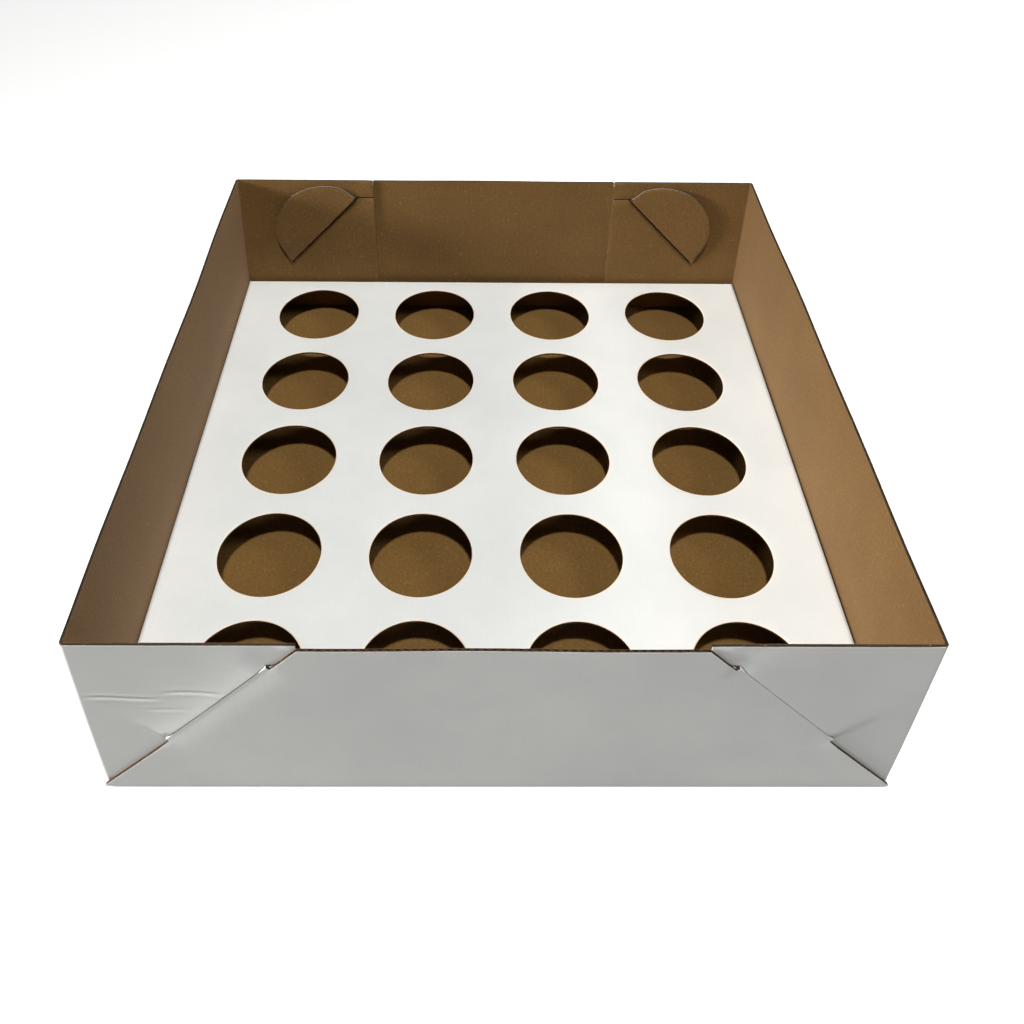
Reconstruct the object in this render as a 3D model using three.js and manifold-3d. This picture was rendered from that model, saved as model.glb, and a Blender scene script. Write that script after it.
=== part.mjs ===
// A folding tray of micro-flute board with half-moon corner locks, and the raised insert that
// stands in it: a deck with a grid of round holes, carried on four folded-down skirts.
// Millimetres, +Z up, +X right, front towards -Y. The origin is the middle of the underside.

import * as THREE from 'three';
import { mergeVertices } from 'three/addons/utils/BufferGeometryUtils.js';
import Module from 'manifold-3d';

const wasm = await Module();
wasm.setup();

// ---------------------------------------------------------------- driving dimensions

const BOARD = 1.5;            // thickness of the board
const GAP = 0.3;              // air between neighbouring panels
const FOLD_RADIUS = 1.2;      // outside radius of a crease

const TRAY_WIDTH = 330;       // outside, along X
const TRAY_LENGTH = 335;      // outside, along Y
const SIDE_HEIGHT = 98;       // side walls and corner flaps
const END_HEIGHT = 97;        // end walls, cut a little lower

const FLAP_WIDTH = 89;        // corner flap, from the outside of its side wall
const DIAGONAL_TOP = 89.5;    // where an end wall's slanted edge meets its rim, from the corner
const RIM_CUT_HEIGHT = 86;    // the cut that opens the slot to the flap's free edge
const RIM_CUT_WIDTH = 0.5;

const LOCK_CENTRE = 81;       // middle of the lock, measured up the slanted edge from its foot
const LOCK_HALF = 33;         // half the lock's crease, and the radius of its half moon
const MOON_SHIFT = 2;         // the half moon sits this far up from the middle of its crease
const MOON_FOOT_ANGLE = 15;   // degrees; below this the outline runs straight to the crease
const SLOT_SLACK = 0.6;       // the slot is longer than the lock's crease by this, at each end
const ARC_STEPS = 28;

const INSERT_WIDTH = 325;
const INSERT_LENGTH = 324;
const DECK_TOP = 22;          // above the tray's underside
const HOLE_RADIUS = 25.2;
const HOLE_PITCH_X = 74;
const HOLE_PITCH_Y = 63.2;
const HOLE_COLUMNS = 4;
const HOLE_ROWS = 5;
const HOLE_STEPS = 40;

// ---------------------------------------------------------------- levels that follow from them

const FLOOR = BOARD;                                  // top of the base panel
const PANEL_FOOT = FLOOR + GAP;                       // where every standing panel starts
const END_OUTSIDE = TRAY_LENGTH / 2;                  // outer face of an end wall
const FLAP_OUTSIDE = END_OUTSIDE - BOARD - GAP;       // outer face of a corner flap
const FLAP_INSIDE = FLAP_OUTSIDE - BOARD;
const MOON_OUTSIDE = FLAP_INSIDE - GAP;               // face of the half moon next to the flap
const MOON_INSIDE = MOON_OUTSIDE - BOARD;
const DECK_UNDERSIDE = DECK_TOP - BOARD;
const SKIRT_TOP = DECK_UNDERSIDE - GAP;

// The slanted edge of an end wall, in corner coordinates: how far in from the tray's corner,
// and how high. "along" points up the edge, "across" points from it to the tray's corner.
const slantFoot = new THREE.Vector2(0, FLOOR);
const along = new THREE.Vector2(DIAGONAL_TOP, END_HEIGHT - FLOOR).normalize();
const across = new THREE.Vector2(-along.y, along.x);
const SLOT_WIDTH = BOARD + 2 * GAP;

/** A point by its distance up the slanted edge from the lock's middle, and across it. */
function lockPoint(up, over) {
  return slantFoot.clone()
    .addScaledVector(along, LOCK_CENTRE + up)
    .addScaledVector(across, over);
}

/** The point at a given height on the line that runs beside the slanted edge. */
function slantPointAt(height, over) {
  const up = (height - slantFoot.y - across.y * over) / along.y;
  return slantFoot.clone().addScaledVector(along, up).addScaledVector(across, over);
}

// ---------------------------------------------------------------- materials

const whiteBoard = new THREE.MeshStandardMaterial({ color: 0xe6e6e2, roughness: 0.72, metalness: 0 });
const kraftBoard = new THREE.MeshStandardMaterial({ color: 0x7b5f3a, roughness: 0.86, metalness: 0 });

// ---------------------------------------------------------------- solids

/** A closed three.js geometry as a manifold solid. */
function solidFrom(geometry) {
  const bare = geometry.clone();
  bare.deleteAttribute('normal');
  bare.deleteAttribute('uv');
  const merged = mergeVertices(bare, 1e-4);
  return new wasm.Manifold(new wasm.Mesh({
    numProp: 3,
    vertProperties: new Float32Array(merged.attributes.position.array),
    triVerts: new Uint32Array(merged.index.array),
  }));
}

/** A manifold solid as a three.js geometry. */
function geometryFrom(solid) {
  const mesh = solid.getMesh();
  const geometry = new THREE.BufferGeometry();
  geometry.setAttribute('position', new THREE.BufferAttribute(mesh.vertProperties, 3));
  geometry.setIndex(new THREE.BufferAttribute(mesh.triVerts, 1));
  geometry.computeVertexNormals();
  return geometry;
}

const sheetOptions = (depth) => ({ depth, bevelEnabled: false, curveSegments: 8 });

/** A sheet whose outline is drawn in X and Z, standing between y = 0 and y = -depth. */
function sheetAcross(outline, depth) {
  return new THREE.ExtrudeGeometry(outline, sheetOptions(depth)).rotateX(Math.PI / 2);
}

/** A sheet whose outline is drawn in Y and Z, standing between x = 0 and x = depth. */
function sheetAlong(outline, depth) {
  const turn = new THREE.Matrix4().makeBasis(
    new THREE.Vector3(0, 1, 0),
    new THREE.Vector3(0, 0, 1),
    new THREE.Vector3(1, 0, 0),
  );
  return new THREE.ExtrudeGeometry(outline, sheetOptions(depth)).applyMatrix4(turn);
}

/** The end view of a flat panel whose two edges on one face are folded over, centred on zero. */
function foldedEdgeProfile(width, foldsUp) {
  const half = width / 2;
  const side = foldsUp ? 1 : -1;
  const flat = foldsUp ? 0 : BOARD;
  const curved = flat + side * BOARD;
  const start = curved - side * FOLD_RADIUS;
  const shape = new THREE.Shape();
  shape.moveTo(-half, flat);
  shape.lineTo(half, flat);
  shape.lineTo(half, start);
  shape.quadraticCurveTo(half, curved, half - FOLD_RADIUS, curved);
  shape.lineTo(-half + FOLD_RADIUS, curved);
  shape.quadraticCurveTo(-half, curved, -half, start);
  shape.closePath();
  return shape;
}

/** A flat panel with all four edges rounded on one face, its lower face at z = 0. */
function foldedPanel(width, length, foldsUp) {
  const profileAcross = sheetAcross(foldedEdgeProfile(width, foldsUp), length);
  const profileAlong = sheetAlong(foldedEdgeProfile(length, foldsUp), width);
  profileAcross.translate(0, length / 2, 0);
  profileAlong.translate(-width / 2, 0, 0);
  return solidFrom(profileAcross).intersect(solidFrom(profileAlong));
}

function namedMesh(name, geometry, material) {
  const mesh = new THREE.Mesh(geometry, material);
  mesh.name = name;
  return mesh;
}

// ---------------------------------------------------------------- tray

function basePanel() {
  const panel = foldedPanel(TRAY_WIDTH, TRAY_LENGTH, false);
  return namedMesh('base_panel', geometryFrom(panel), kraftBoard);
}

function sideWall(name, side) {
  const half = FLAP_INSIDE - GAP;
  const outline = new THREE.Shape([
    new THREE.Vector2(-half, PANEL_FOOT),
    new THREE.Vector2(half, PANEL_FOOT),
    new THREE.Vector2(half, SIDE_HEIGHT),
    new THREE.Vector2(-half, SIDE_HEIGHT),
  ]);
  const wall = namedMesh(name, sheetAlong(outline, BOARD), whiteBoard);
  wall.position.x = side < 0 ? -TRAY_WIDTH / 2 : TRAY_WIDTH / 2 - BOARD;
  return wall;
}

function endWall(name, end) {
  const foot = TRAY_WIDTH / 2 - slantPointAt(PANEL_FOOT, 0).x;
  const top = TRAY_WIDTH / 2 - DIAGONAL_TOP;
  const outline = new THREE.Shape([
    new THREE.Vector2(-foot, PANEL_FOOT),
    new THREE.Vector2(foot, PANEL_FOOT),
    new THREE.Vector2(top, END_HEIGHT),
    new THREE.Vector2(-top, END_HEIGHT),
  ]);
  const wall = namedMesh(name, sheetAcross(outline, BOARD), whiteBoard);
  wall.position.y = end < 0 ? -END_OUTSIDE + BOARD : END_OUTSIDE;
  return wall;
}

/** Corner coordinates to the tray's X and Z, on the left (side -1) or the right (side 1). */
function atCorner(points, side) {
  return points.map((p) => new THREE.Vector2(side * (TRAY_WIDTH / 2 - p.x), p.y));
}

/** What rounds off the upright crease between a side wall and its flap. */
function cornerRounding(side, end) {
  const x = side * TRAY_WIDTH / 2;
  const y = end * FLAP_OUTSIDE;
  const shape = new THREE.Shape();
  shape.moveTo(x - side * FOLD_RADIUS, y);
  shape.quadraticCurveTo(x, y, x, y - end * FOLD_RADIUS);
  shape.lineTo(x + side, y - end * FOLD_RADIUS);
  shape.lineTo(x + side, y + end);
  shape.lineTo(x - side * FOLD_RADIUS, y + end);
  shape.closePath();
  const cutter = new THREE.ExtrudeGeometry(shape, sheetOptions(SIDE_HEIGHT + 2));
  return solidFrom(cutter);
}

/** The flap folded in from a side wall, with the slot for the lock, open to its free edge. */
function cornerFlap(name, side, end) {
  const slotFoot = -LOCK_HALF - SLOT_SLACK;
  const cutTop = RIM_CUT_HEIGHT + RIM_CUT_WIDTH;
  const outline = new THREE.Shape(atCorner([
    new THREE.Vector2(0, PANEL_FOOT),
    new THREE.Vector2(FLAP_WIDTH, PANEL_FOOT),
    new THREE.Vector2(FLAP_WIDTH, RIM_CUT_HEIGHT),
    slantPointAt(RIM_CUT_HEIGHT, 0),
    lockPoint(slotFoot, 0),
    lockPoint(slotFoot, SLOT_WIDTH),
    slantPointAt(cutTop, SLOT_WIDTH),
    new THREE.Vector2(FLAP_WIDTH, cutTop),
    new THREE.Vector2(FLAP_WIDTH, SIDE_HEIGHT),
    new THREE.Vector2(0, SIDE_HEIGHT),
  ], side));
  const sheet = sheetAcross(outline, BOARD).translate(0, end < 0 ? -FLAP_INSIDE : FLAP_OUTSIDE, 0);
  const flap = solidFrom(sheet).subtract(cornerRounding(side, end));
  return namedMesh(name, geometryFrom(flap), whiteBoard);
}

/** The half moon on an end wall's slanted edge, pushed through the slot to lie inside the flap. */
function lockTab(name, side, end) {
  const moon = [lockPoint(-LOCK_HALF, GAP)];
  const lastAngle = Math.acos((LOCK_HALF - MOON_SHIFT) / LOCK_HALF);
  const firstAngle = Math.PI - THREE.MathUtils.degToRad(MOON_FOOT_ANGLE);
  for (let step = 0; step <= ARC_STEPS; step += 1) {
    const angle = THREE.MathUtils.lerp(firstAngle, lastAngle, step / ARC_STEPS);
    moon.push(lockPoint(MOON_SHIFT + LOCK_HALF * Math.cos(angle), LOCK_HALF * Math.sin(angle)));
  }
  moon.push(lockPoint(LOCK_HALF, GAP));

  const neck = [
    lockPoint(-LOCK_HALF, GAP),
    lockPoint(LOCK_HALF, GAP),
    lockPoint(LOCK_HALF, GAP + BOARD),
    lockPoint(-LOCK_HALF, GAP + BOARD),
  ];
  const moonSheet = sheetAcross(new THREE.Shape(atCorner(moon, side)), BOARD);
  const neckSheet = sheetAcross(new THREE.Shape(atCorner(neck, side)), END_OUTSIDE - MOON_INSIDE);
  moonSheet.translate(0, end < 0 ? -MOON_INSIDE : MOON_OUTSIDE, 0);
  neckSheet.translate(0, end < 0 ? -MOON_INSIDE : END_OUTSIDE, 0);
  const tab = solidFrom(moonSheet).add(solidFrom(neckSheet));
  return namedMesh(name, geometryFrom(tab), kraftBoard);
}

// ---------------------------------------------------------------- insert

function insertDeck() {
  let deck = foldedPanel(INSERT_WIDTH, INSERT_LENGTH, true);
  for (let row = 0; row < HOLE_ROWS; row += 1) {
    for (let column = 0; column < HOLE_COLUMNS; column += 1) {
      const hole = new THREE.CylinderGeometry(HOLE_RADIUS, HOLE_RADIUS, 3 * BOARD, HOLE_STEPS);
      hole.rotateX(Math.PI / 2);
      hole.translate(
        (column - (HOLE_COLUMNS - 1) / 2) * HOLE_PITCH_X,
        (row - (HOLE_ROWS - 1) / 2) * HOLE_PITCH_Y,
        BOARD / 2,
      );
      deck = deck.subtract(solidFrom(hole));
    }
  }
  const mesh = namedMesh('insert_deck', geometryFrom(deck), whiteBoard);
  mesh.position.z = DECK_UNDERSIDE;
  return mesh;
}

/** The outline of a skirt: mitred at 45 degrees, so that two folded under never meet. */
function skirtOutline(topHalf) {
  const footHalf = topHalf - (SKIRT_TOP - PANEL_FOOT);
  return new THREE.Shape([
    new THREE.Vector2(-footHalf, PANEL_FOOT),
    new THREE.Vector2(footHalf, PANEL_FOOT),
    new THREE.Vector2(topHalf, SKIRT_TOP),
    new THREE.Vector2(-topHalf, SKIRT_TOP),
  ]);
}

function endSkirt(name, end) {
  const outline = skirtOutline(INSERT_WIDTH / 2 - BOARD - GAP);
  const skirt = namedMesh(name, sheetAcross(outline, BOARD), whiteBoard);
  skirt.position.y = end < 0 ? -INSERT_LENGTH / 2 + BOARD : INSERT_LENGTH / 2;
  return skirt;
}

function sideSkirt(name, side) {
  const outline = skirtOutline(INSERT_LENGTH / 2 - BOARD - GAP);
  const skirt = namedMesh(name, sheetAlong(outline, BOARD), whiteBoard);
  skirt.position.x = side < 0 ? -INSERT_WIDTH / 2 : INSERT_WIDTH / 2 - BOARD;
  return skirt;
}

// ---------------------------------------------------------------- assembly

const tray = new THREE.Group();
const insert = new THREE.Group();
tray.add(basePanel());
insert.add(insertDeck());

for (const [sideName, side] of [['left', -1], ['right', 1]]) {
  tray.add(sideWall(`side_wall_${sideName}`, side));
  insert.add(sideSkirt(`insert_skirt_${sideName}`, side));
}

for (const [endName, end] of [['front', -1], ['back', 1]]) {
  tray.add(endWall(`end_wall_${endName}`, end));
  insert.add(endSkirt(`insert_skirt_${endName}`, end));
  for (const [sideName, side] of [['left', -1], ['right', 1]]) {
    tray.add(cornerFlap(`corner_flap_${endName}_${sideName}`, side, end));
    tray.add(lockTab(`lock_tab_${endName}_${sideName}`, side, end));
  }
}

const box = new THREE.Group();
box.add(tray, insert);

export default box;
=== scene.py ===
import math

import bmesh
import bpy
import numpy as np
from mathutils.geometry import delaunay_2d_cdt
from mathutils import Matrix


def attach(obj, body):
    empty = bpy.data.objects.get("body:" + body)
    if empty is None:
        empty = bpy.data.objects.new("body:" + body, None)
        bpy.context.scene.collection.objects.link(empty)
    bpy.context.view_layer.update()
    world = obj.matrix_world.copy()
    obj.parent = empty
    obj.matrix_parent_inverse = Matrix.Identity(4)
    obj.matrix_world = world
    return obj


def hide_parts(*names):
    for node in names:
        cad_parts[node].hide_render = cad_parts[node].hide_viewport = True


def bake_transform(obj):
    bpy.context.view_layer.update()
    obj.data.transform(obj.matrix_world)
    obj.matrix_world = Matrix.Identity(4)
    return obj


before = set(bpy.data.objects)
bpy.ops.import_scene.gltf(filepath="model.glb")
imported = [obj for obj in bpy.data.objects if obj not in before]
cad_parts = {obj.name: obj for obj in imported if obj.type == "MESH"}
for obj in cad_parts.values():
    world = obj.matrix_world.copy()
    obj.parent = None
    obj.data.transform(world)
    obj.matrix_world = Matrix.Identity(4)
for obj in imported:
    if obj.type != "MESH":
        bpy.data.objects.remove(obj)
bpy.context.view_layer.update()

# ------------------------------------------------------------------ sizes of the board and the blank, in millimetres

BOARD = 1.5
CREASE_RADIUS = 1.9
LINER = 0.26
FLUTE_PITCH = 3.2

TRAY_HALF_WIDTH = 165.0
TRAY_HALF_LENGTH = 167.5
SIDE_HEIGHT = 98.0
END_HEIGHT = 97.0
PANEL_FOOT = 1.9

FLAP_WIDTH = 89.0
FLAP_OUTSIDE = 165.7
FLAP_INSIDE = 164.2
SIDE_HALF_LENGTH = FLAP_INSIDE - 0.6
FLAP_FOOT = 2.3
RIM_CUT_HEIGHT = 85.7
RIM_CUT_TOP = 86.3
MOON_INSIDE = 162.4

LOCK_CENTRE = 81.0
LOCK_HALF = 33.0
MOON_SHIFT = 2.0
SLOT_WIDTH = 2.1
SLOT_SLACK = 0.6
MOON_ROOT = 2.1              # how far from its crease a half moon lies flat again
LIP_LIFT = 1.5               # how far the slot's upper lip bulges out over the lock
LOCK_CRUSH = 0.5             # how much thinner the board is where it is scored for the lock
SLANT_RUN, SLANT_RISE = 89.5, 95.5      # a slanted crease, in from the tray's corner and up
SLANT = np.array([SLANT_RUN, SLANT_RISE]) / math.hypot(SLANT_RUN, SLANT_RISE)
SLANT_FOOT = np.array([0.0, 1.5])

INSERT_HALF_WIDTH = 161.7
INSERT_HALF_LENGTH = 162.0
DECK_TOP = 22.0
SKIRT_FOOT = 1.8
HOLE_RADIUS = 25.2
HOLE_COLUMNS, HOLE_ROWS = 4, 5
HOLE_PITCH_X = 74.0
HOLE_PITCH_Y = 63.2

LEAN = {"left": 5.2, "right": 3.4, "front": 3.6, "back": 1.7}      # how far each rim stands in from its foot
LEAN_CURVE = 1.15

SIDES = (("left", -1), ("right", 1))
ENDS = (("front", -1), ("back", 1))


# ------------------------------------------------------------------ finishes

def shader_group(name, inputs, outputs):
    """An empty shader node group with its named sockets, and its two end nodes."""
    group = bpy.data.node_groups.new(name, "ShaderNodeTree")
    for label, kind, value in inputs:
        socket = group.interface.new_socket(label, in_out="INPUT", socket_type=kind)
        if value is not None:
            socket.default_value = value
    for label, kind in outputs:
        group.interface.new_socket(label, in_out="OUTPUT", socket_type=kind)
    return group, group.nodes.new("NodeGroupInput"), group.nodes.new("NodeGroupOutput")


def math_node(tree, operation, first, second=None, third=None, clamp=False):
    node = tree.nodes.new("ShaderNodeMath")
    node.operation = operation
    node.use_clamp = clamp
    for socket, value in zip(node.inputs, (first, second, third)):
        if value is None:
            continue
        if isinstance(value, (int, float)):
            socket.default_value = value
        else:
            tree.links.new(value, socket)
    return node.outputs[0]


def noise_node(tree, vector, scale, detail=2.0, roughness=0.5):
    node = tree.nodes.new("ShaderNodeTexNoise")
    node.inputs["Detail"].default_value = detail
    node.inputs["Roughness"].default_value = roughness
    if isinstance(scale, (int, float)):
        node.inputs["Scale"].default_value = scale
    else:
        tree.links.new(scale, node.inputs["Scale"])
    tree.links.new(vector, node.inputs["Vector"])
    return node.outputs["Fac"]


def stretched(tree, vector, factors):
    node = tree.nodes.new("ShaderNodeVectorMath")
    node.operation = "MULTIPLY"
    tree.links.new(vector, node.inputs[0])
    node.inputs[1].default_value = factors
    return node.outputs[0]


def span(tree, value, low, high):
    """Value, from low to high, as 0 to 1 with soft ends."""
    node = tree.nodes.new("ShaderNodeMapRange")
    node.interpolation_type = "SMOOTHSTEP"
    tree.links.new(value, node.inputs["Value"])
    node.inputs["From Min"].default_value = low
    node.inputs["From Max"].default_value = high
    return node.outputs["Result"]


def paper_fibres():
    """Pulp seen close to: pale fibres, dark specks, wide clouds, fine grain and the tooth of the surface."""
    group, start, end = shader_group(
        "paper_fibres",
        [("Sheet", "NodeSocketVector", None), ("Fibre Scale", "NodeSocketFloat", 520.0),
         ("Cloud Scale", "NodeSocketFloat", 26.0)],
        [(label, "NodeSocketFloat") for label in ("Fibres", "Specks", "Clouds", "Grain", "Tooth")],
    )
    sheet, scale = start.outputs["Sheet"], start.outputs["Fibre Scale"]
    fibre = noise_node(group, stretched(group, sheet, (1.0, 0.6, 1.0)), scale, 2.0, 0.5)
    group.links.new(span(group, fibre, 0.62, 0.74), end.inputs["Fibres"])
    speck = noise_node(group, sheet, math_node(group, "MULTIPLY", scale, 0.9), 1.0, 0.4)
    group.links.new(span(group, speck, 0.73, 0.80), end.inputs["Specks"])
    grain = noise_node(group, sheet, math_node(group, "MULTIPLY", scale, 1.1), 4.0, 0.75)
    group.links.new(span(group, grain, 0.34, 0.66), end.inputs["Grain"])
    group.links.new(noise_node(group, sheet, start.outputs["Cloud Scale"], 5.0, 0.6), end.inputs["Clouds"])
    tooth = noise_node(group, sheet, math_node(group, "MULTIPLY", scale, 3.1), 3.0, 0.7)
    group.links.new(tooth, end.inputs["Tooth"])
    return group


def flute_ripple():
    """The liner drawn down between the flutes beneath it, as faint level ribs."""
    group, start, end = shader_group(
        "flute_ripple",
        [("Sheet", "NodeSocketVector", None), ("Pitch", "NodeSocketFloat", FLUTE_PITCH / 1000),
         ("Waver", "NodeSocketFloat", 1.2)],
        [("Ripple", "NodeSocketFloat")],
    )
    split = group.nodes.new("ShaderNodeSeparateXYZ")
    group.links.new(start.outputs["Sheet"], split.inputs[0])
    turns = math_node(group, "DIVIDE", split.outputs["X"], start.outputs["Pitch"])
    drift = noise_node(group, stretched(group, start.outputs["Sheet"], (1.0, 0.25, 1.0)), 60.0, 2.0)
    waver = math_node(group, "MULTIPLY", drift, start.outputs["Waver"])
    phase = math_node(group, "MULTIPLY_ADD", turns, 2 * math.pi, waver)
    wave = math_node(group, "MULTIPLY_ADD", math_node(group, "SINE", phase), 0.5, 0.5)
    group.links.new(wave, end.inputs["Ripple"])
    return group


def handled_edge():
    """Rubbing along the cut edges: 1 where the paper is scuffed, fading inwards with a ragged border."""
    group, start, end = shader_group(
        "handled_edge",
        [("Sheet", "NodeSocketVector", None), ("Edge", "NodeSocketFloat", 1.0),
         ("Reach", "NodeSocketFloat", 0.3), ("Ragged", "NodeSocketFloat", 0.5)],
        [("Rubbed", "NodeSocketFloat")],
    )
    grain = noise_node(group, start.outputs["Sheet"], 210.0, 4.0, 0.7)
    shifted = math_node(group, "MULTIPLY", math_node(group, "SUBTRACT", grain, 0.5), start.outputs["Ragged"])
    away = math_node(group, "ADD", start.outputs["Edge"], shifted)
    near = math_node(group, "DIVIDE", away, start.outputs["Reach"])
    group.links.new(math_node(group, "SUBTRACT", 1.0, near, clamp=True), end.inputs["Rubbed"])
    return group


FIBRES, RIPPLE, RUBBED = paper_fibres(), flute_ripple(), handled_edge()


class Finish:
    """One board finish: a Principled material with the shared groups placed in it."""

    def __init__(self, name, roughness, specular=0.5):
        self.material = bpy.data.materials.new(name)
        self.material.use_nodes = True
        self.tree = self.material.node_tree
        self.shader = self.tree.nodes["Principled BSDF"]
        self.shader.inputs["Roughness"].default_value = roughness
        self.shader.inputs["Specular IOR Level"].default_value = specular
        self.sheet = self.attribute("sheet", "Vector")
        self.edge = self.attribute("edge", "Fac")

    def attribute(self, name, output):
        node = self.tree.nodes.new("ShaderNodeAttribute")
        node.attribute_name = name
        return node.outputs[output]

    def placed(self, group, **values):
        node = self.tree.nodes.new("ShaderNodeGroup")
        node.node_tree = group
        self.tree.links.new(self.sheet, node.inputs["Sheet"])
        if "Edge" in node.inputs:
            self.tree.links.new(self.edge, node.inputs["Edge"])
        for label, value in values.items():
            node.inputs[label.replace("_", " ")].default_value = value
        return node

    def mixed(self, factor, first, second):
        node = self.tree.nodes.new("ShaderNodeMix")
        node.data_type = "RGBA"
        if isinstance(factor, (int, float)):
            node.inputs[0].default_value = factor
        else:
            self.tree.links.new(factor, node.inputs[0])
        for socket, value in ((node.inputs[6], first), (node.inputs[7], second)):
            if isinstance(value, tuple):
                socket.default_value = (*value, 1.0)
            else:
                self.tree.links.new(value, socket)
        return node.outputs[2]

    def ramp(self, factor, stops):
        node = self.tree.nodes.new("ShaderNodeValToRGB")
        while len(node.color_ramp.elements) < len(stops):
            node.color_ramp.elements.new(0.5)
        for element, (place, colour) in zip(node.color_ramp.elements, stops):
            element.position = place
            element.color = (*colour, 1.0)
        self.tree.links.new(factor, node.inputs[0])
        return node.outputs[0]

    def share(self, value, amount):
        return math_node(self.tree, "MULTIPLY", value, amount)

    def layered(self, colour, layers):
        """The colour with each layer's paint over it, where its mask shows and by its amount."""
        for mask, amount, paint in layers:
            colour = self.mixed(self.share(mask, amount), colour, paint)
        return colour

    def colour(self, value):
        self.tree.links.new(value, self.shader.inputs["Base Color"])

    def roughness(self, value, low, high):
        node = self.tree.nodes.new("ShaderNodeMapRange")
        self.tree.links.new(value, node.inputs["Value"])
        node.inputs["To Min"].default_value = low
        node.inputs["To Max"].default_value = high
        self.tree.links.new(node.outputs["Result"], self.shader.inputs["Roughness"])

    def bump(self, height, distance):
        node = self.tree.nodes.new("ShaderNodeBump")
        node.inputs["Strength"].default_value = 1.0
        node.inputs["Distance"].default_value = distance
        self.tree.links.new(height, node.inputs["Height"])
        self.tree.links.new(node.outputs["Normal"], self.shader.inputs["Normal"])


def white_liner():
    """Clay-coated white paper, slightly mottled, with the flutes barely showing through."""
    finish = Finish("white_liner", 0.55)
    fibres = finish.placed(FIBRES, Fibre_Scale=640.0, Cloud_Scale=15.0)
    ripple = finish.placed(RIPPLE, Waver=1.6)
    rubbed = finish.placed(RUBBED, Reach=0.085, Ragged=0.07)
    clouds = span(finish.tree, fibres.outputs["Clouds"], 0.3, 0.72)
    colour = finish.mixed(clouds, (0.762, 0.785, 0.768), (0.824, 0.842, 0.818))
    finish.colour(finish.layered(colour, (
        (ripple.outputs["Ripple"], 0.025, (0.62, 0.63, 0.62)),
        (fibres.outputs["Grain"], 0.05, (0.66, 0.66, 0.64)),
        (fibres.outputs["Specks"], 0.12, (0.52, 0.50, 0.46)),
        (rubbed.outputs["Rubbed"], 0.62, (0.97, 0.83, 0.66)),
    )))
    finish.roughness(fibres.outputs["Clouds"], 0.48, 0.66)
    tooth = finish.share(fibres.outputs["Tooth"], 0.26)
    finish.bump(math_node(finish.tree, "MULTIPLY_ADD", ripple.outputs["Ripple"], 0.08, tooth), 0.00009)
    return finish.material


def kraft_liner():
    """Brown recycled kraft, finely grained, with a few pale fibres and dark specks."""
    finish = Finish("kraft_liner", 0.85, 0.3)
    fibres = finish.placed(FIBRES, Fibre_Scale=620.0, Cloud_Scale=19.0)
    ripple = finish.placed(RIPPLE, Waver=1.9)
    rubbed = finish.placed(RUBBED, Reach=0.10, Ragged=0.16)
    clouds = span(finish.tree, fibres.outputs["Clouds"], 0.3, 0.7)
    colour = finish.mixed(clouds, (0.184, 0.095, 0.018), (0.224, 0.119, 0.026))
    finish.colour(finish.layered(colour, (
        (ripple.outputs["Ripple"], 0.05, (0.100, 0.052, 0.016)),
        (fibres.outputs["Grain"], 0.62, (0.110, 0.058, 0.015)),
        (fibres.outputs["Fibres"], 0.34, (0.38, 0.25, 0.12)),
        (fibres.outputs["Specks"], 0.55, (0.050, 0.026, 0.010)),
        (rubbed.outputs["Rubbed"], 0.35, (0.33, 0.22, 0.11)),
    )))
    finish.roughness(fibres.outputs["Clouds"], 0.74, 0.90)
    finish.shader.inputs["Sheen Weight"].default_value = 0.27
    finish.shader.inputs["Sheen Roughness"].default_value = 0.45
    finish.shader.inputs["Sheen Tint"].default_value = (1.0, 0.78, 0.66, 1.0)
    tooth = finish.share(fibres.outputs["Tooth"], 0.62)
    finish.bump(math_node(finish.tree, "MULTIPLY_ADD", ripple.outputs["Ripple"], 0.16, tooth), 0.00012)
    return finish.material


def cut_edge_with_painted_shade():
    """The die-cut edge, by height in the board: brown liner, darker core, then the pale top liner; the whole ramp is
    also painted darker than bare board, as painted shade for the shadowed gaps along the edges.
    """
    finish = Finish("cut_edge_with_painted_shade", 0.9, 0.2)
    fibres = finish.placed(FIBRES, Fibre_Scale=900.0, Cloud_Scale=120.0)
    split = finish.tree.nodes.new("ShaderNodeSeparateXYZ")
    finish.tree.links.new(finish.sheet, split.inputs[0])
    depth = math_node(finish.tree, "DIVIDE", split.outputs["Z"], BOARD / 1000)
    wander = math_node(finish.tree, "MULTIPLY_ADD", fibres.outputs["Clouds"], 0.30, -0.15)
    layer = math_node(finish.tree, "ADD", depth, wander, clamp=True)
    # painted shade: every stop is set darker than bare cut board, so the cut edges show as the dark shadowed gaps
    # along them
    colour = finish.ramp(layer, [
        (0.00, (0.10, 0.062, 0.032)), (0.22, (0.038, 0.024, 0.014)), (0.55, (0.046, 0.030, 0.018)),
        (0.84, (0.066, 0.047, 0.032)), (1.00, (0.34, 0.30, 0.25)),
    ])
    finish.colour(finish.layered(colour, [(fibres.outputs["Fibres"], 0.25, (0.50, 0.41, 0.31))]))
    finish.roughness(fibres.outputs["Clouds"], 0.84, 0.97)
    finish.bump(fibres.outputs["Tooth"], 0.00016)
    return finish.material


def fluted_medium():
    """The wavy brown paper between the liners."""
    finish = Finish("fluted_medium", 0.9, 0.2)
    fibres = finish.placed(FIBRES, Fibre_Scale=760.0, Cloud_Scale=90.0)
    colour = finish.mixed(fibres.outputs["Clouds"], (0.085, 0.050, 0.024), (0.17, 0.105, 0.055))
    finish.colour(finish.layered(colour, [(fibres.outputs["Fibres"], 0.4, (0.38, 0.27, 0.17))]))
    finish.roughness(fibres.outputs["Clouds"], 0.84, 0.95)
    finish.bump(fibres.outputs["Tooth"], 0.00012)
    return finish.material


BOARD_FINISHES = (white_liner(), kraft_liner(), cut_edge_with_painted_shade(), fluted_medium())
WHITE, KRAFT, CUT, FLUTE = range(4)


# ------------------------------------------------------------------ how the folded tray stands

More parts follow.
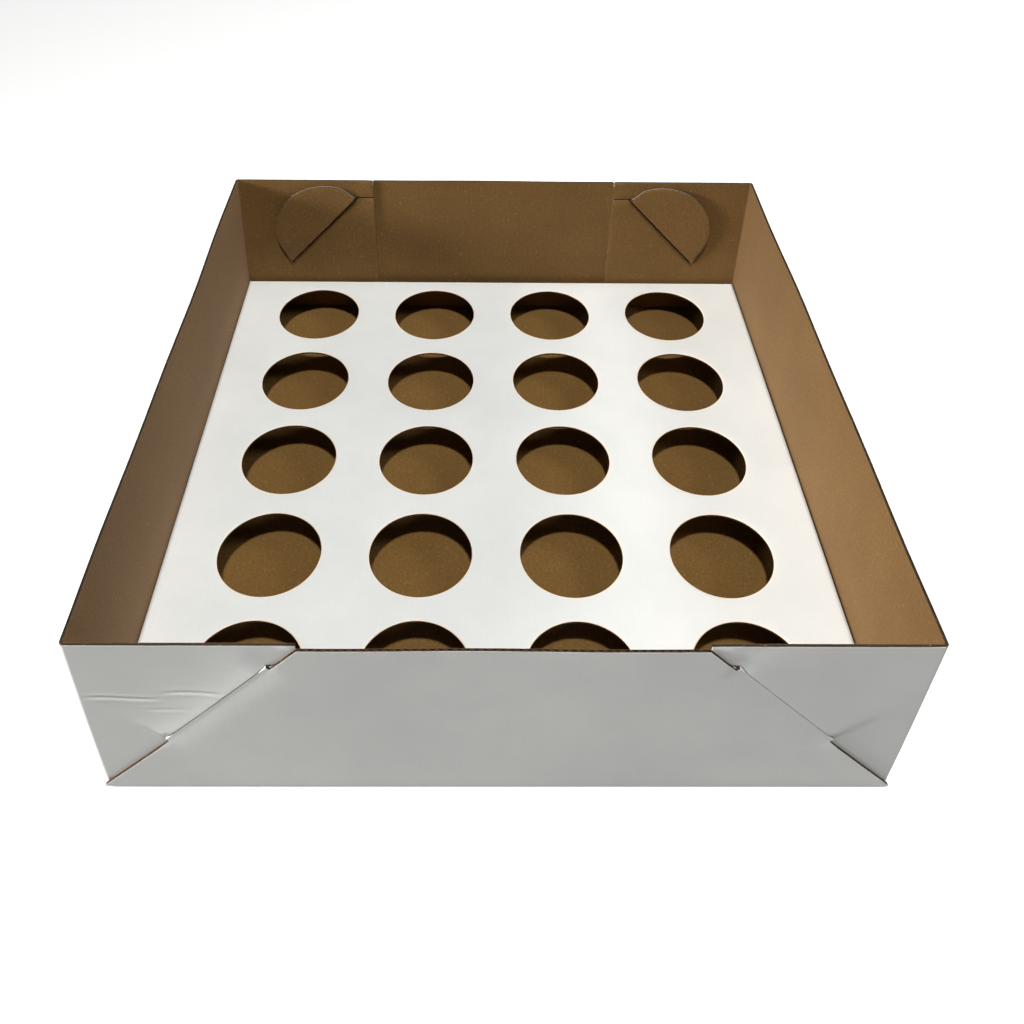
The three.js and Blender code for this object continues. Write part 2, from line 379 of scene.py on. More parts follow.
def at_rest_in_use(points):
    """Where the folded walls really stand: each leans in a little towards its rim, and its neighbours go with it.
    The powers let the lean die away towards the middle of the tray."""
    x, y, z = points.T
    rise = np.clip(z / SIDE_HEIGHT, 0, None) ** LEAN_CURVE
    inwards_x = np.where(x < 0, LEAN["left"], -LEAN["right"]) * rise * (np.abs(x) / TRAY_HALF_WIDTH) ** 2
    inwards_y = np.where(y < 0, LEAN["front"], -LEAN["back"]) * rise * (np.abs(y) / TRAY_HALF_LENGTH) ** 4
    return np.column_stack([x + inwards_x, y + inwards_y, z])


# ------------------------------------------------------------------ a panel cut from the blank

# The edge of the board in section, from the white face to the kraft face: how far in, and how far up from the kraft.
EDGE_SECTIONS = {
    "pressed": [(0.55, BOARD), (0.20, BOARD - 0.05), (0.03, BOARD - 0.22), (0.0, 1.02),
                (0.15, 0.80), (0.13, 0.30), (0.05, 0.08), (0.26, 0.0)],
    "raw": [(0.06, BOARD), (0.0, BOARD - 0.06), (0.05, BOARD - 0.3), (0.10, 0.95),
            (0.10, 0.60), (0.04, 0.30), (0.0, 0.07), (0.06, 0.0)],
    "across": [(0.05, BOARD), (0.0, BOARD - 0.05), (0.0, BOARD - LINER), (0.95, BOARD - LINER),
               (0.95, LINER), (0.0, LINER), (0.0, 0.05), (0.05, 0.0)],
    "along": [(0.05, BOARD), (0.0, BOARD - 0.05), (0.0, BOARD - 0.22), (0.9, BOARD - 0.26),
              (0.9, 0.92), (0.16, 0.84), (0.02, 0.10), (0.08, 0.0)],
    "crease": [(0.0, BOARD), (0.0, 1.38), (0.0, 1.15), (0.0, 0.90), (0.0, 0.60), (0.0, 0.35), (0.0, 0.12), (0.0, 0.0)],
}
RINGS = len(EDGE_SECTIONS["raw"])
CLEAN_CUT = (WHITE, CUT, CUT, CUT, CUT, CUT, KRAFT)
SECTION_FINISHES = {
    "pressed": (WHITE, WHITE, WHITE, CUT, CUT, CUT, KRAFT),
    "raw": CLEAN_CUT,
    "across": CLEAN_CUT,
    "along": CLEAN_CUT,
    "crease": (CUT,) * (RINGS - 1),
}

MEDIUM = 0.09                # half the thickness of the wavy paper
MEDIUM_FROM, MEDIUM_TO = 0.22, 0.94     # how deep inside the open edge it starts and ends
FLUTE_STEPS = 10             # pieces of paper to a flute


def edge_inset(kind, before, ring):
    """How far in a ring stands where two kinds of edge meet. A crease takes the smaller, to stay joined."""
    insets = [EDGE_SECTIONS[k][ring][0] for k in (kind, before)]
    return min(insets) if "crease" in (kind, before) else max(insets)


def along_outline(outline, step):
    """The outline's points, with more on its long edges, and what kind of edge follows each."""
    points, kinds = [], []
    for i, (p, q, kind) in enumerate(outline):
        a = np.array([p, q], float)
        b = np.array(outline[(i + 1) % len(outline)][:2], float)
        pieces = max(1, int(math.ceil(np.linalg.norm(b - a) / step)))
        for k in range(pieces):
            points.append(a + (b - a) * k / pieces)
            kinds.append(kind)
    return np.array(points), kinds


def inward(points):
    """For each point of a loop, the way into the board, as long as a mitre needs."""
    after = np.roll(points, -1, 0) - points
    before = points - np.roll(points, 1, 0)
    def left(v):
        v = v / np.maximum(np.linalg.norm(v, axis=1, keepdims=True), 1e-9)
        return np.column_stack([-v[:, 1], v[:, 0]])
    n1, n2 = left(before), left(after)
    return (n1 + n2) / np.maximum(1 + (n1 * n2).sum(1, keepdims=True), 0.35)


def distance_to(points, others):
    """How far each point is from the nearest of the others."""
    nearest = np.full(len(points), 1e9)
    for start in range(0, len(others), 400):
        part = others[start:start + 400]
        nearest = np.minimum(nearest, np.sqrt(((points[:, None] - part[None]) ** 2).sum(2)).min(1))
    return nearest


def inside(points, loops):
    """Even-odd test of points against loops."""
    odd = np.zeros(len(points), bool)
    x, y = points.T
    for loop in loops:
        for a, b in zip(loop, np.roll(loop, -1, 0)):
            crosses = (a[1] > y) != (b[1] > y)
            if crosses.any():
                at = a[0] + (y - a[1]) * (b[0] - a[0]) / (b[1] - a[1] if b[1] != a[1] else 1e-12)
                odd ^= crosses & (x < at)
    return odd


class BoardMesh:
    """Vertices, faces and blank coordinates of one piece of board, gathered before they become a mesh."""

    def __init__(self):
        self.points, self.sheet, self.edge, self.faces, self.finishes = [], [], [], [], []

    def add(self, points, sheet, edge):
        start = len(self.points)
        self.points.extend(points)
        self.sheet.extend(sheet)
        self.edge.extend(edge)
        return start

    def face(self, corners, finish):
        self.faces.append(tuple(int(c) for c in corners))
        self.finishes.append(finish)

    def made(self, name, leaning):
        points = np.array(self.points, float)
        if leaning:
            points = at_rest_in_use(points)
        mesh = bpy.data.meshes.new(name)
        mesh.from_pydata((points / 1000).tolist(), [], self.faces)
        for material in BOARD_FINISHES:
            mesh.materials.append(material)
        mesh.polygons.foreach_set("material_index", self.finishes)
        sheet = mesh.attributes.new("sheet", "FLOAT_VECTOR", "POINT")
        sheet.data.foreach_set("vector", (np.array(self.sheet, np.float32) / 1000).ravel())
        edge = mesh.attributes.new("edge", "FLOAT", "POINT")
        edge.data.foreach_set("value", np.array(self.edge, np.float32))
        work = bmesh.new()
        work.from_mesh(mesh)
        bmesh.ops.recalc_face_normals(work, faces=work.faces)
        work.to_mesh(mesh)
        work.free()
        mesh.polygons.foreach_set("use_smooth", [True] * len(mesh.polygons))
        mesh.set_sharp_from_angle(angle=math.radians(38))
        piece = bpy.data.objects.new(name, mesh)
        bpy.context.scene.collection.objects.link(piece)
        return piece


def cut_panel(name, outline, place, holes=(), step=7.0, flutes_along="p", seed=0.0, bow=None, creases_in=(),
              leaning=True, rim_wear=0.065):
    """A flat piece of board cut to an outline drawn anticlockwise in p and q, seen from the white side.
    place puts (p, q, height above the kraft face) in the tray, bow bends it, creases_in are more points
    for its faces, and rim_wear says how close to a rubbed edge its own edge counts: 0 is the closest."""
    board = BoardMesh()
    loops = [along_outline(outline, step)] + [along_outline(h, step) for h in holes]
    rims = [points for points, kinds in loops]
    border = np.vstack(rims)
    loose = border[np.array([k != "crease" for points, kinds in loops for k in kinds])]

    def blank(p, q, h):
        across, with_flutes = (q, p) if flutes_along == "p" else (p, q)
        return np.column_stack([across + seed * 37.0, with_flutes + seed * 91.0, h])

    def raised(pq, h):
        lift = np.zeros(len(pq)) if bow is None else bow(pq[:, 0], pq[:, 1], h)
        return place(pq[:, 0], pq[:, 1], h + lift)

    # the rounded, pressed or open edge, ring by ring
    rings = []
    for points, kinds in loops:
        ways = inward(points)
        ring_ids = []
        for k in range(RINGS):
            inset = np.array([edge_inset(kinds[i], kinds[i - 1], k) for i in range(len(kinds))])
            height = np.array([EDGE_SECTIONS[kind][k][1] for kind in kinds])
            pq = points + ways * inset[:, None]
            edge = [1.0 if kind == "crease" else rim_wear for kind in kinds]
            first = board.add(raised(pq, height), blank(pq[:, 0], pq[:, 1], height), edge)
            ring_ids.append((first, pq))
        n = len(points)
        for k in range(RINGS - 1):
            upper, lower = ring_ids[k][0], ring_ids[k + 1][0]
            for i in range(n):
                j = (i + 1) % n
                board.face((upper + i, upper + j, lower + j, lower + i), SECTION_FINISHES[kinds[i]][k])
        rings.append((ring_ids, n))

    # the two faces
    low, high = border.min(0), border.max(0)
    grid_p = np.arange(low[0] + step * 0.5, high[0], step)
    grid_q = np.arange(low[1] + step * 0.5, high[1], step)
    pp, qq = np.meshgrid(grid_p, grid_q)
    pp[1::2] += step * 0.5
    grid = np.column_stack([pp.ravel(), qq.ravel()])
    extra = np.array(creases_in, float).reshape(-1, 2)
    if len(extra):
        grid = grid[distance_to(grid, extra) > step * 0.35]
        grid = np.vstack([grid, extra])
    grid = grid[inside(grid, rims)]
    grid = grid[distance_to(grid, border) > min(1.6, step * 0.3)]
    nearness = np.clip(rim_wear + distance_to(grid, loose) / 8.0, 0, 1)
    for ring, height, finish in ((0, BOARD, WHITE), (RINGS - 1, 0.0, KRAFT)):
        known, edges, coordinates = [], [], []
        for ring_ids, n in rings:
            first, pq = ring_ids[ring]
            base = len(coordinates)
            coordinates.extend(pq.tolist())
            known.extend(range(first, first + n))
            edges.extend((base + i, base + (i + 1) % n) for i in range(n))
        heights = np.full(len(grid), height)
        first = board.add(raised(grid, heights), blank(grid[:, 0], grid[:, 1], heights), nearness)
        known.extend(range(first, first + len(grid)))
        coordinates.extend(grid.tolist())
        corners, _, faces, come_from, _, _ = delaunay_2d_cdt([tuple(c) for c in coordinates], edges, [], 1, 1e-7, True)
        middles = np.array([[sum(corners[v][axis] for v in face) / 3 for axis in (0, 1)] for face in faces])
        keep = inside(middles, [ring_ids[ring][1] for ring_ids, n in rings])
        for face, kept in zip(faces, keep):
            if kept:
                board.face([known[come_from[v][0]] for v in face], finish)

    # the wavy medium, where the board is cut across its flutes
    for (points, kinds), (ring_ids, n) in zip(loops, rings):
        ways = inward(points)
        for start in [i for i in range(n) if kinds[i] == "across" and kinds[i - 1] != "across"]:
            run = [start]
            while kinds[run[-1] % n] == "across" and len(run) <= n:
                run.append(run[-1] + 1)
            path = np.array([points[i % n] for i in run])
            normal = ways[run[len(run) // 2] % n]
            normal = normal / np.linalg.norm(normal)
            length = np.linalg.norm(path[-1] - path[0])
            count = int(length / FLUTE_PITCH * FLUTE_STEPS)
            t = (np.arange(count + 1) / count * (length - 1.4) + 0.7) / length
            middle = path[0] + (path[-1] - path[0]) * t[:, None]
            crest = (BOARD / 2 - LINER - MEDIUM) * np.sin(2 * np.pi * t * length / FLUTE_PITCH + seed)
            corners = []
            for depth, side in ((MEDIUM_FROM, MEDIUM), (MEDIUM_FROM, -MEDIUM),
                                (MEDIUM_TO, -MEDIUM), (MEDIUM_TO, MEDIUM)):
                pq = middle + normal * depth
                h = BOARD / 2 + crest + side
                corners.append(board.add(raised(pq, h), blank(pq[:, 0], pq[:, 1], h), [0.0] * len(pq)))
            for i in range(count):
                for c in range(4):
                    d = (c + 1) % 4
                    board.face((corners[c] + i, corners[c] + i + 1, corners[d] + i + 1, corners[d] + i), FLUTE)
            board.face([corners[c] for c in range(4)], FLUTE)
            board.face([corners[c] + count for c in (3, 2, 1, 0)], FLUTE)
    return board.made(name, leaning)


def swept_crease(name, section, stations, seed=0.0, leaning=True):
    """Board bent along a score: a section swept along stations.
    section holds as many white side points as kraft side points, and a station puts such a point in the tray."""
    board = BoardMesh()
    white, kraft = section
    w, n = len(white), len(white) + len(kraft)
    back = list(reversed(kraft))
    loop = list(white) + back
    heights = [BOARD] * w + [0.0] * w
    walked = np.concatenate([
        np.cumsum([0.0] + [math.dist(a, b) for a, b in zip(side, side[1:])]) for side in (white, back)])
    rows = []
    for s, station in enumerate(stations):
        points = np.array([station(*corner) for corner in loop])
        sheet = np.column_stack([walked + seed * 37.0, np.full(n, s * 3.0 + seed * 91.0), heights])
        rows.append(board.add(points, sheet, [1.0] * n))
    for a, b in zip(rows, rows[1:]):
        for i in range(n):
            j = (i + 1) % n
            finish = CUT if i in (w - 1, n - 1) else WHITE if i < w else KRAFT
            board.face((a + i, a + j, b + j, b + i), finish)
    for row in (rows[0], rows[-1]):
        for i in range(w - 1):
            board.face((row + i, row + i + 1, row + n - 2 - i, row + n - 1 - i), CUT)
    return board.made(name, leaning)


def quarter_bend(radius=CREASE_RADIUS, steps=8, bead=0.10):
    """The section of a right-angled crease, in distances from its outer corner along its two panels."""
    white, kraft = [], []
    for i in range(steps + 1):
        turn = math.pi / 2 * i / steps
        swell = bead * math.sin(2 * turn) ** 2
        for side, r in ((white, radius - swell * 0.6), (kraft, radius - BOARD - swell)):
            r = max(r, 0.12)
            side.append((radius - r * math.sin(turn), radius - r * math.cos(turn)))
    return white, kraft


# ------------------------------------------------------------------ the tray

def creased_sheet(half_width, half_length):
    """The outline of a rectangle that is creased along all four sides."""
    return [(-half_width, -half_length, "crease"), (half_width, -half_length, "crease"),
            (half_width, half_length, "crease"), (-half_width, half_length, "crease")]


def mirrored(outline):
    """The outline as seen from the other side, each edge keeping its kind."""
    n = len(outline)
    return [(-outline[n - 1 - i][0], outline[n - 1 - i][1], outline[(n - 2 - i) % n][2]) for i in range(n)]


def base_board():
    outline = creased_sheet(TRAY_HALF_WIDTH - CREASE_RADIUS, TRAY_HALF_LENGTH - CREASE_RADIUS)
    piece = cut_panel("base_board", mirrored(outline), lambda p, q, h: np.column_stack([-p, q, BOARD - h]),
                      step=9.0, flutes_along="q", seed=1.0)
    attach(piece, "tray_base")
    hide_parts("base_panel")


def side_board(name, side):
    half = SIDE_HALF_LENGTH
    def place(p, q, h):
        return np.column_stack([side * (TRAY_HALF_WIDTH - BOARD + h), side * p, q])
    def bow(p, q, h):
        held = np.clip(1 - (np.abs(p) / half) ** 4, 0, 1) * np.clip(q / SIDE_HEIGHT, 0, 1)
        return held * (0.35 * np.sin(p / 43.0 + side) - 0.25 * np.sin(p / 19.0 + 2 * side))
    outline = [(-half, PANEL_FOOT, "crease"), (half, PANEL_FOOT, "crease"),
               (half, SIDE_HEIGHT, "along"), (-half, SIDE_HEIGHT, "crease")]
    piece = cut_panel(f"side_board_{name}", outline, place, flutes_along="p", seed=2.0 + side, bow=bow)
    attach(piece, f"side_{name}")
    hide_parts(f"side_wall_{name}")


def slant_point(up, over):
    """In from the tray's corner and up: a point up the slanted crease from the lock's middle, and over above it."""
    return SLANT_FOOT + SLANT * (LOCK_CENTRE + up) + np.array([-SLANT[1], SLANT[0]]) * over


def slant_at(height, over=0.0):
    """The same, for the point at a height."""
    up = (height - SLANT_FOOT[1] - SLANT[0] * over) / SLANT[1]
    return SLANT_FOOT + SLANT * up + np.array([-SLANT[1], SLANT[0]]) * over


def beside_slant(a, z):
    """How far up and how far over a point lies, from how far in from the corner and how high it is."""
    a, z = a - SLANT_FOOT[0], z - SLANT_FOOT[1]
    return a * SLANT[0] + z * SLANT[1] - LOCK_CENTRE, -a * SLANT[1] + z * SLANT[0]


def crushed(up, over):
    """How far the flutes are pressed flat beside the lock's crease, 0 to 1."""
    towards = np.clip(1 + over / 9.0, 0, 1) ** 1.5
    ends = np.clip((LOCK_HALF + 3.0 - np.abs(up)) / 3.0, 0, 1)
    return towards * ends * ends * (3 - 2 * ends)


def end_board(name, end):
    foot = TRAY_HALF_WIDTH - slant_at(PANEL_FOOT)[0]
    top = TRAY_HALF_WIDTH - slant_at(END_HEIGHT)[0]
    low, high = slant_point(-LOCK_HALF, 0.0), slant_point(LOCK_HALF, 0.0)
    right_low = (TRAY_HALF_WIDTH - low[0], low[1])
    right_high = (TRAY_HALF_WIDTH - high[0], high[1])
    outline = [
        (-foot, PANEL_FOOT, "crease"), (foot, PANEL_FOOT, "raw"), (*right_low, "crease"), (*right_high, "raw"),
        (top, END_HEIGHT, "across"), (-top, END_HEIGHT, "raw"), (-right_high[0], right_high[1], "crease"),
        (-right_low[0], right_low[1], "raw"),
    ]
    def place(p, q, h):
        return np.column_stack([-end * p, end * (TRAY_HALF_LENGTH - BOARD + h), q])
    def bow(p, q, h):
        held = np.clip(1 - (np.abs(p) / 74.0) ** 2, 0, 1) * np.clip(q / END_HEIGHT, 0, 1)
        up, over = beside_slant(TRAY_HALF_WIDTH - np.abs(p), q)
        return held * 0.35 * np.sin(p / 23.0 + end) - LOCK_CRUSH * crushed(up, over) * (h / BOARD)
    near_lock = [
        (sign * (TRAY_HALF_WIDTH - a), z) for sign in (-1, 1) for up in np.arange(-36.5, 37, 2.5)
        for over in (-0.9, -2.4, -4.6, -7.4, -10.0) for a, z in [slant_point(up, over)] if z < END_HEIGHT - 1.5]
    piece = cut_panel(f"end_board_{name}", outline, place, flutes_along="q", seed=5.0 + end,
                      bow=bow, creases_in=near_lock)
    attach(piece, f"end_{name}")
    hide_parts(f"end_wall_{name}")


# from, to, height and depth of each line where a thumb has pressed
THUMB_LINES = ((3.0, 35.0, 64.6, 0.26), (33.0, 62.0, 68.6, 0.20), (24.0, 46.0, 57.6, 0.10))


def thumb_wander(a):
    return 0.5 * np.sin(a / 6.0)


def crushed_flutes(a, z):
    """Level lines where the flutes under the white liner have been crushed by a thumb."""
    lift = np.zeros(len(a))
    for start, stop, height, depth in THUMB_LINES:
        along = np.clip((a - start) / 6, 0, 1) * np.clip((stop - a) / 8, 0, 1)
        off = z - height - thumb_wander(a)
        lift += along * depth * (0.55 * np.exp(-((np.abs(off) - 1.7) / 0.9) ** 2) - np.exp(-(off / 0.75) ** 2))
    return lift


def flap_board(end_name, end, side_name, side):
    foot = slant_point(-LOCK_HALF - SLOT_SLACK, 0.0)
    foot_far = slant_point(-LOCK_HALF - SLOT_SLACK, SLOT_WIDTH)
    turn, turn_far = slant_at(RIM_CUT_HEIGHT), slant_at(RIM_CUT_TOP, SLOT_WIDTH)
    corner = [
        (CREASE_RADIUS, FLAP_FOOT, "pressed"), (FLAP_WIDTH, FLAP_FOOT, "pressed"),
        (FLAP_WIDTH, RIM_CUT_HEIGHT, "pressed"), (*turn, "pressed"), (*foot, "pressed"),
        (*foot_far, "pressed"), (*turn_far, "pressed"), (FLAP_WIDTH, RIM_CUT_TOP, "pressed"),
        (FLAP_WIDTH, SIDE_HEIGHT, "along"), (CREASE_RADIUS, SIDE_HEIGHT, "crease"),
    ]
    # seen from the white side, the flap lies to the left or to the right of its crease
    facing = -side * end
    outline = corner if facing > 0 else mirrored(corner)
    def place(p, q, h):
        return np.column_stack([side * (TRAY_HALF_WIDTH - np.abs(p)), end * (FLAP_INSIDE + h), q])
    thumbed = end < 0 and side < 0
    def bow(p, q, h):
        up, over = beside_slant(np.abs(p), q)
        ends = np.clip((LOCK_HALF + 0.8 - np.abs(up)) / 2.6, 0, 1)
        lip = np.where(over > SLOT_WIDTH - 0.05, np.exp(-(over - SLOT_WIDTH) / 9.0), 0.0)
        lip = lip * ends * ends * (3 - 2 * ends)
        clear = np.clip((np.abs(p) - CREASE_RADIUS) / 6.0, 0, 1) * np.clip((SIDE_HEIGHT - q) / 6.0, 0, 1)
        pressed = np.where(h > BOARD / 2, crushed_flutes(np.abs(p), q), 0.0) if thumbed else 0.0
        return LIP_LIFT * lip * clear + pressed
    rows = [
        (facing * a, z) for up in np.arange(-LOCK_HALF - 3, LOCK_HALF + 3, 2.4)
        for over in (1.4, 3.2, 5.8, 9.5, 14.0, 20.0) for a, z in [slant_point(up, SLOT_WIDTH + over)]
        if CREASE_RADIUS + 1.5 < a < FLAP_WIDTH - 1.5 and FLAP_FOOT + 1.5 < z < RIM_CUT_HEIGHT - 1.5]
    if thumbed:
        rows.extend((facing * a, height + thumb_wander(a) + d) for a in np.arange(3.5, 62, 1.5)
                    for start, stop, height, depth in THUMB_LINES
                    for d in (-2.6, -1.7, -0.9, -0.4, 0.0, 0.4, 0.9, 1.7, 2.6))
    piece = cut_panel(f"flap_board_{end_name}_{side_name}", outline, place, step=5.0, flutes_along="p",
                      seed=9.0 + side + 3 * end, bow=bow, creases_in=rows)
    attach(piece, f"side_{side_name}")
    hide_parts(f"corner_flap_{end_name}_{side_name}")


def half_moon(end_name, end, side_name, side):
    """A lock tab. Here p runs up its crease from the middle, and q away from it, towards the corner."""
    last = math.acos((LOCK_HALF - MOON_SHIFT) / LOCK_HALF)
    first = math.pi - math.radians(15)
    arc = [(-LOCK_HALF + 0.3, MOON_ROOT)]
    for k in range(41):
        angle = first + (last - first) * k / 40
        arc.append((MOON_SHIFT + LOCK_HALF * math.cos(angle), LOCK_HALF * math.sin(angle)))
    arc.append((LOCK_HALF, MOON_ROOT))
    outline = [(p, q, "pressed") for p, q in arc[:0:-1]] + [(*arc[0], "crease")]
    def place(p, q, h):
        a = SLANT_FOOT[0] + SLANT[0] * (LOCK_CENTRE + p) - SLANT[1] * q
        z = SLANT_FOOT[1] + SLANT[1] * (LOCK_CENTRE + p) + SLANT[0] * q
        return np.column_stack([side * (TRAY_HALF_WIDTH - a), end * (MOON_INSIDE + h), z])
    def bow(p, q, h):
        away = np.clip(q - MOON_ROOT, 0, None)
        return -(0.035 * away + 0.0009 * away ** 2) * (1.0 if end > 0 else 0.2)
    piece = cut_panel(f"half_moon_{end_name}_{side_name}", outline, place, step=4.0, flutes_along="q",
                      seed=14.0 + side + 3 * end, bow=bow)
    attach(piece, f"tab_{end_name}_{side_name}")
    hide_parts(f"lock_tab_{end_name}_{side_name}")


def lock_crease(end_name, end, side_name, side):
    """The board between an end wall and its half moon, bent in through the slot and flat again."""
    out, tight, thin = TRAY_HALF_LENGTH - LOCK_CRUSH, 0.10, BOARD - LOCK_CRUSH
    face, back, tighter = SLOT_WIDTH - 0.28, SLOT_WIDTH - 1.00, 0.08
    white, kraft = [(0.0, out)], [(0.0, out - thin)]
    bends = [math.pi / 2 * i / 6 for i in range(7)]
    for turn in bends:
        white.append((face - tight + tight * math.sin(turn), out - tight + tight * math.cos(turn)))
        kraft.append((back - tighter + tighter * math.sin(turn), out - thin - tighter + tighter * math.cos(turn)))
    landing = MOON_INSIDE + 1.8
    for turn in bends:
        white.append((MOON_ROOT - (MOON_ROOT - face) * math.cos(turn), landing - 0.3 * math.sin(turn)))
        kraft.append((MOON_ROOT - (MOON_ROOT - back) * math.cos(turn), landing - 1.8 * math.sin(turn)))
    stations = []
    for up in np.linspace(-LOCK_HALF - 0.4, LOCK_HALF + 0.5, 23):
        def station(over, y, up=up):
            a, z = slant_point(up, over)
            return (side * (TRAY_HALF_WIDTH - a), end * y, z)
        stations.append(station)
    piece = swept_crease(f"lock_crease_{end_name}_{side_name}", (white, kraft), stations, seed=20.0 + side)
    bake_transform(piece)


def corner_crease(end_name, end, side_name, side):
    """The upright crease between a side wall and its flap."""
    stations = []
    for z in np.linspace(PANEL_FOOT + 0.2, SIDE_HEIGHT, 15):
        stations.append(lambda c1, c2, z=z: (side * (TRAY_HALF_WIDTH - c2), end * (FLAP_OUTSIDE - c1), z))
    piece = swept_crease(f"corner_crease_{end_name}_{side_name}", quarter_bend(), stations, seed=24.0 + side)
    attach(piece, f"side_{side_name}")


def diagonal_ends(corner_x, corner_y, corner_z, towards_x, towards_y, towards_z):
    first = [(corner_x + towards_x * a) / 1000 for a in (1.1, 0.6)]
    across = [(corner_y + towards_y * a) / 1000 for a in (1.1, 0.6)]
    rise = [(corner_z + towards_z * a) / 1000 for a in (0.7, 1.2)]
    return tuple(zip(first, across, rise))


def foot_creases():
    for name, side in SIDES:
        half = SIDE_HALF_LENGTH
        stations = [lambda c1, c2, y=y: (side * (TRAY_HALF_WIDTH - c1), y, c2) for y in np.linspace(-half, half, 25)]
        piece = swept_crease(f"foot_crease_{name}", quarter_bend(), stations, seed=30.0 + side)
        start, end = diagonal_ends(side * TRAY_HALF_WIDTH, 0, 0, -side, 0, 1)
        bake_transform(piece)
        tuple(start)
        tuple(end)
    for name, side in ENDS:
        half = TRAY_HALF_WIDTH - slant_at(PANEL_FOOT)[0]
        stations = [lambda c1, c2, x=x: (x, side * (TRAY_HALF_LENGTH - c1), c2) for x in np.linspace(-half, half, 25)]
        piece = swept_crease(f"foot_crease_{name}", quarter_bend(), stations, seed=33.0 + side)
        start, end = diagonal_ends(0, side * TRAY_HALF_LENGTH, 0, 0, -side, 1)
        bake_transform(piece)
        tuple(start)
        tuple(end)


# ------------------------------------------------------------------ the insert

def deck_board():
    half_width, half_length = INSERT_HALF_WIDTH - CREASE_RADIUS, INSERT_HALF_LENGTH - CREASE_RADIUS
    holes = []
    for row in range(HOLE_ROWS):
        for column in range(HOLE_COLUMNS):
            x = (column - (HOLE_COLUMNS - 1) / 2) * HOLE_PITCH_X
            y = (row - (HOLE_ROWS - 1) / 2) * HOLE_PITCH_Y
            holes.append([(x + HOLE_RADIUS * math.cos(t), y - HOLE_RADIUS * math.sin(t), "pressed")
                          for t in np.arange(72) * math.pi / 36])
    def bow(p, q, h):
        held = np.clip(1 - (np.abs(p) / half_width) ** 6, 0, 1) * np.clip(1 - (np.abs(q) / half_length) ** 6, 0, 1)
        return held * 0.2 * (np.sin(p / 41.0) * np.sin(q / 57.0 + 0.7) + 1.0)
    piece = cut_panel("deck_board", creased_sheet(half_width, half_length),
                      lambda p, q, h: np.column_stack([p, q, DECK_TOP - BOARD + h]),
                      holes=holes, step=8.0, flutes_along="q", seed=40.0, bow=bow, leaning=False, rim_wear=0.0)
    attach(piece, "insert")
    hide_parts("insert_deck")


# the outside of a skirt that turns freely under the deck, by whether it runs along x
SKIRT_HINGE = {True: INSERT_HALF_LENGTH, False: 162.3}
SKIRT_SPLAY = 0.2


def skirt_boards():
    top = DECK_TOP - CREASE_RADIUS
    for names, along_x in ((ENDS, True), (SIDES, False)):
        for name, sign in names:
            out = INSERT_HALF_LENGTH if along_x else INSERT_HALF_WIDTH
            half = (INSERT_HALF_WIDTH if along_x else INSERT_HALF_LENGTH) - CREASE_RADIUS
            low = half - (top - SKIRT_FOOT)
            flare = SKIRT_HINGE[along_x] - out + 0.1
            outline = [(-low, SKIRT_FOOT, "pressed"), (low, SKIRT_FOOT, "pressed"),
                       (half, top, "crease"), (-half, top, "pressed")]
            def place(p, q, h):
                splay = SKIRT_SPLAY * np.clip((top - q) / 9.0, 0, 1) if along_x else 0.0
                away = sign * (out + flare - BOARD + h + splay)
                return np.column_stack([-sign * p, away, q]) if along_x else np.column_stack([away, sign * p, q])
            piece = cut_panel(f"skirt_board_{name}", outline, place, step=8.0, flutes_along="q" if along_x else "p",
                              seed=44.0 + sign, leaning=False)
            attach(piece, f"skirt_{name}")
            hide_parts(f"insert_skirt_{name}")

            reach = half + CREASE_RADIUS
            stations = []
            for s in np.linspace(-1, 1, 25):
                def station(c1, c2, s=s):
                    run = s * (reach - c1) if abs(s) == 1 else s * half
                    away = sign * (out - c1)
                    return (run, away, DECK_TOP - c2) if along_x else (away, run, DECK_TOP - c2)
                stations.append(station)
            section = [[(c1 - flare * i / (len(side) - 1), c2) for i, (c1, c2) in enumerate(side)]
                       for side in quarter_bend()]
            crease = swept_crease(f"skirt_crease_{name}", section, stations, seed=48.0 + sign, leaning=False)
            towards = (0, -sign, -1) if along_x else (-sign, 0, -1)
            corner = (0, sign * out, DECK_TOP) if along_x else (sign * out, 0, DECK_TOP)
            start, end = diagonal_ends(*corner, *towards)
            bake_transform(crease)
            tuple(start)
            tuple(end)


# ------------------------------------------------------------------ floor, light and camera

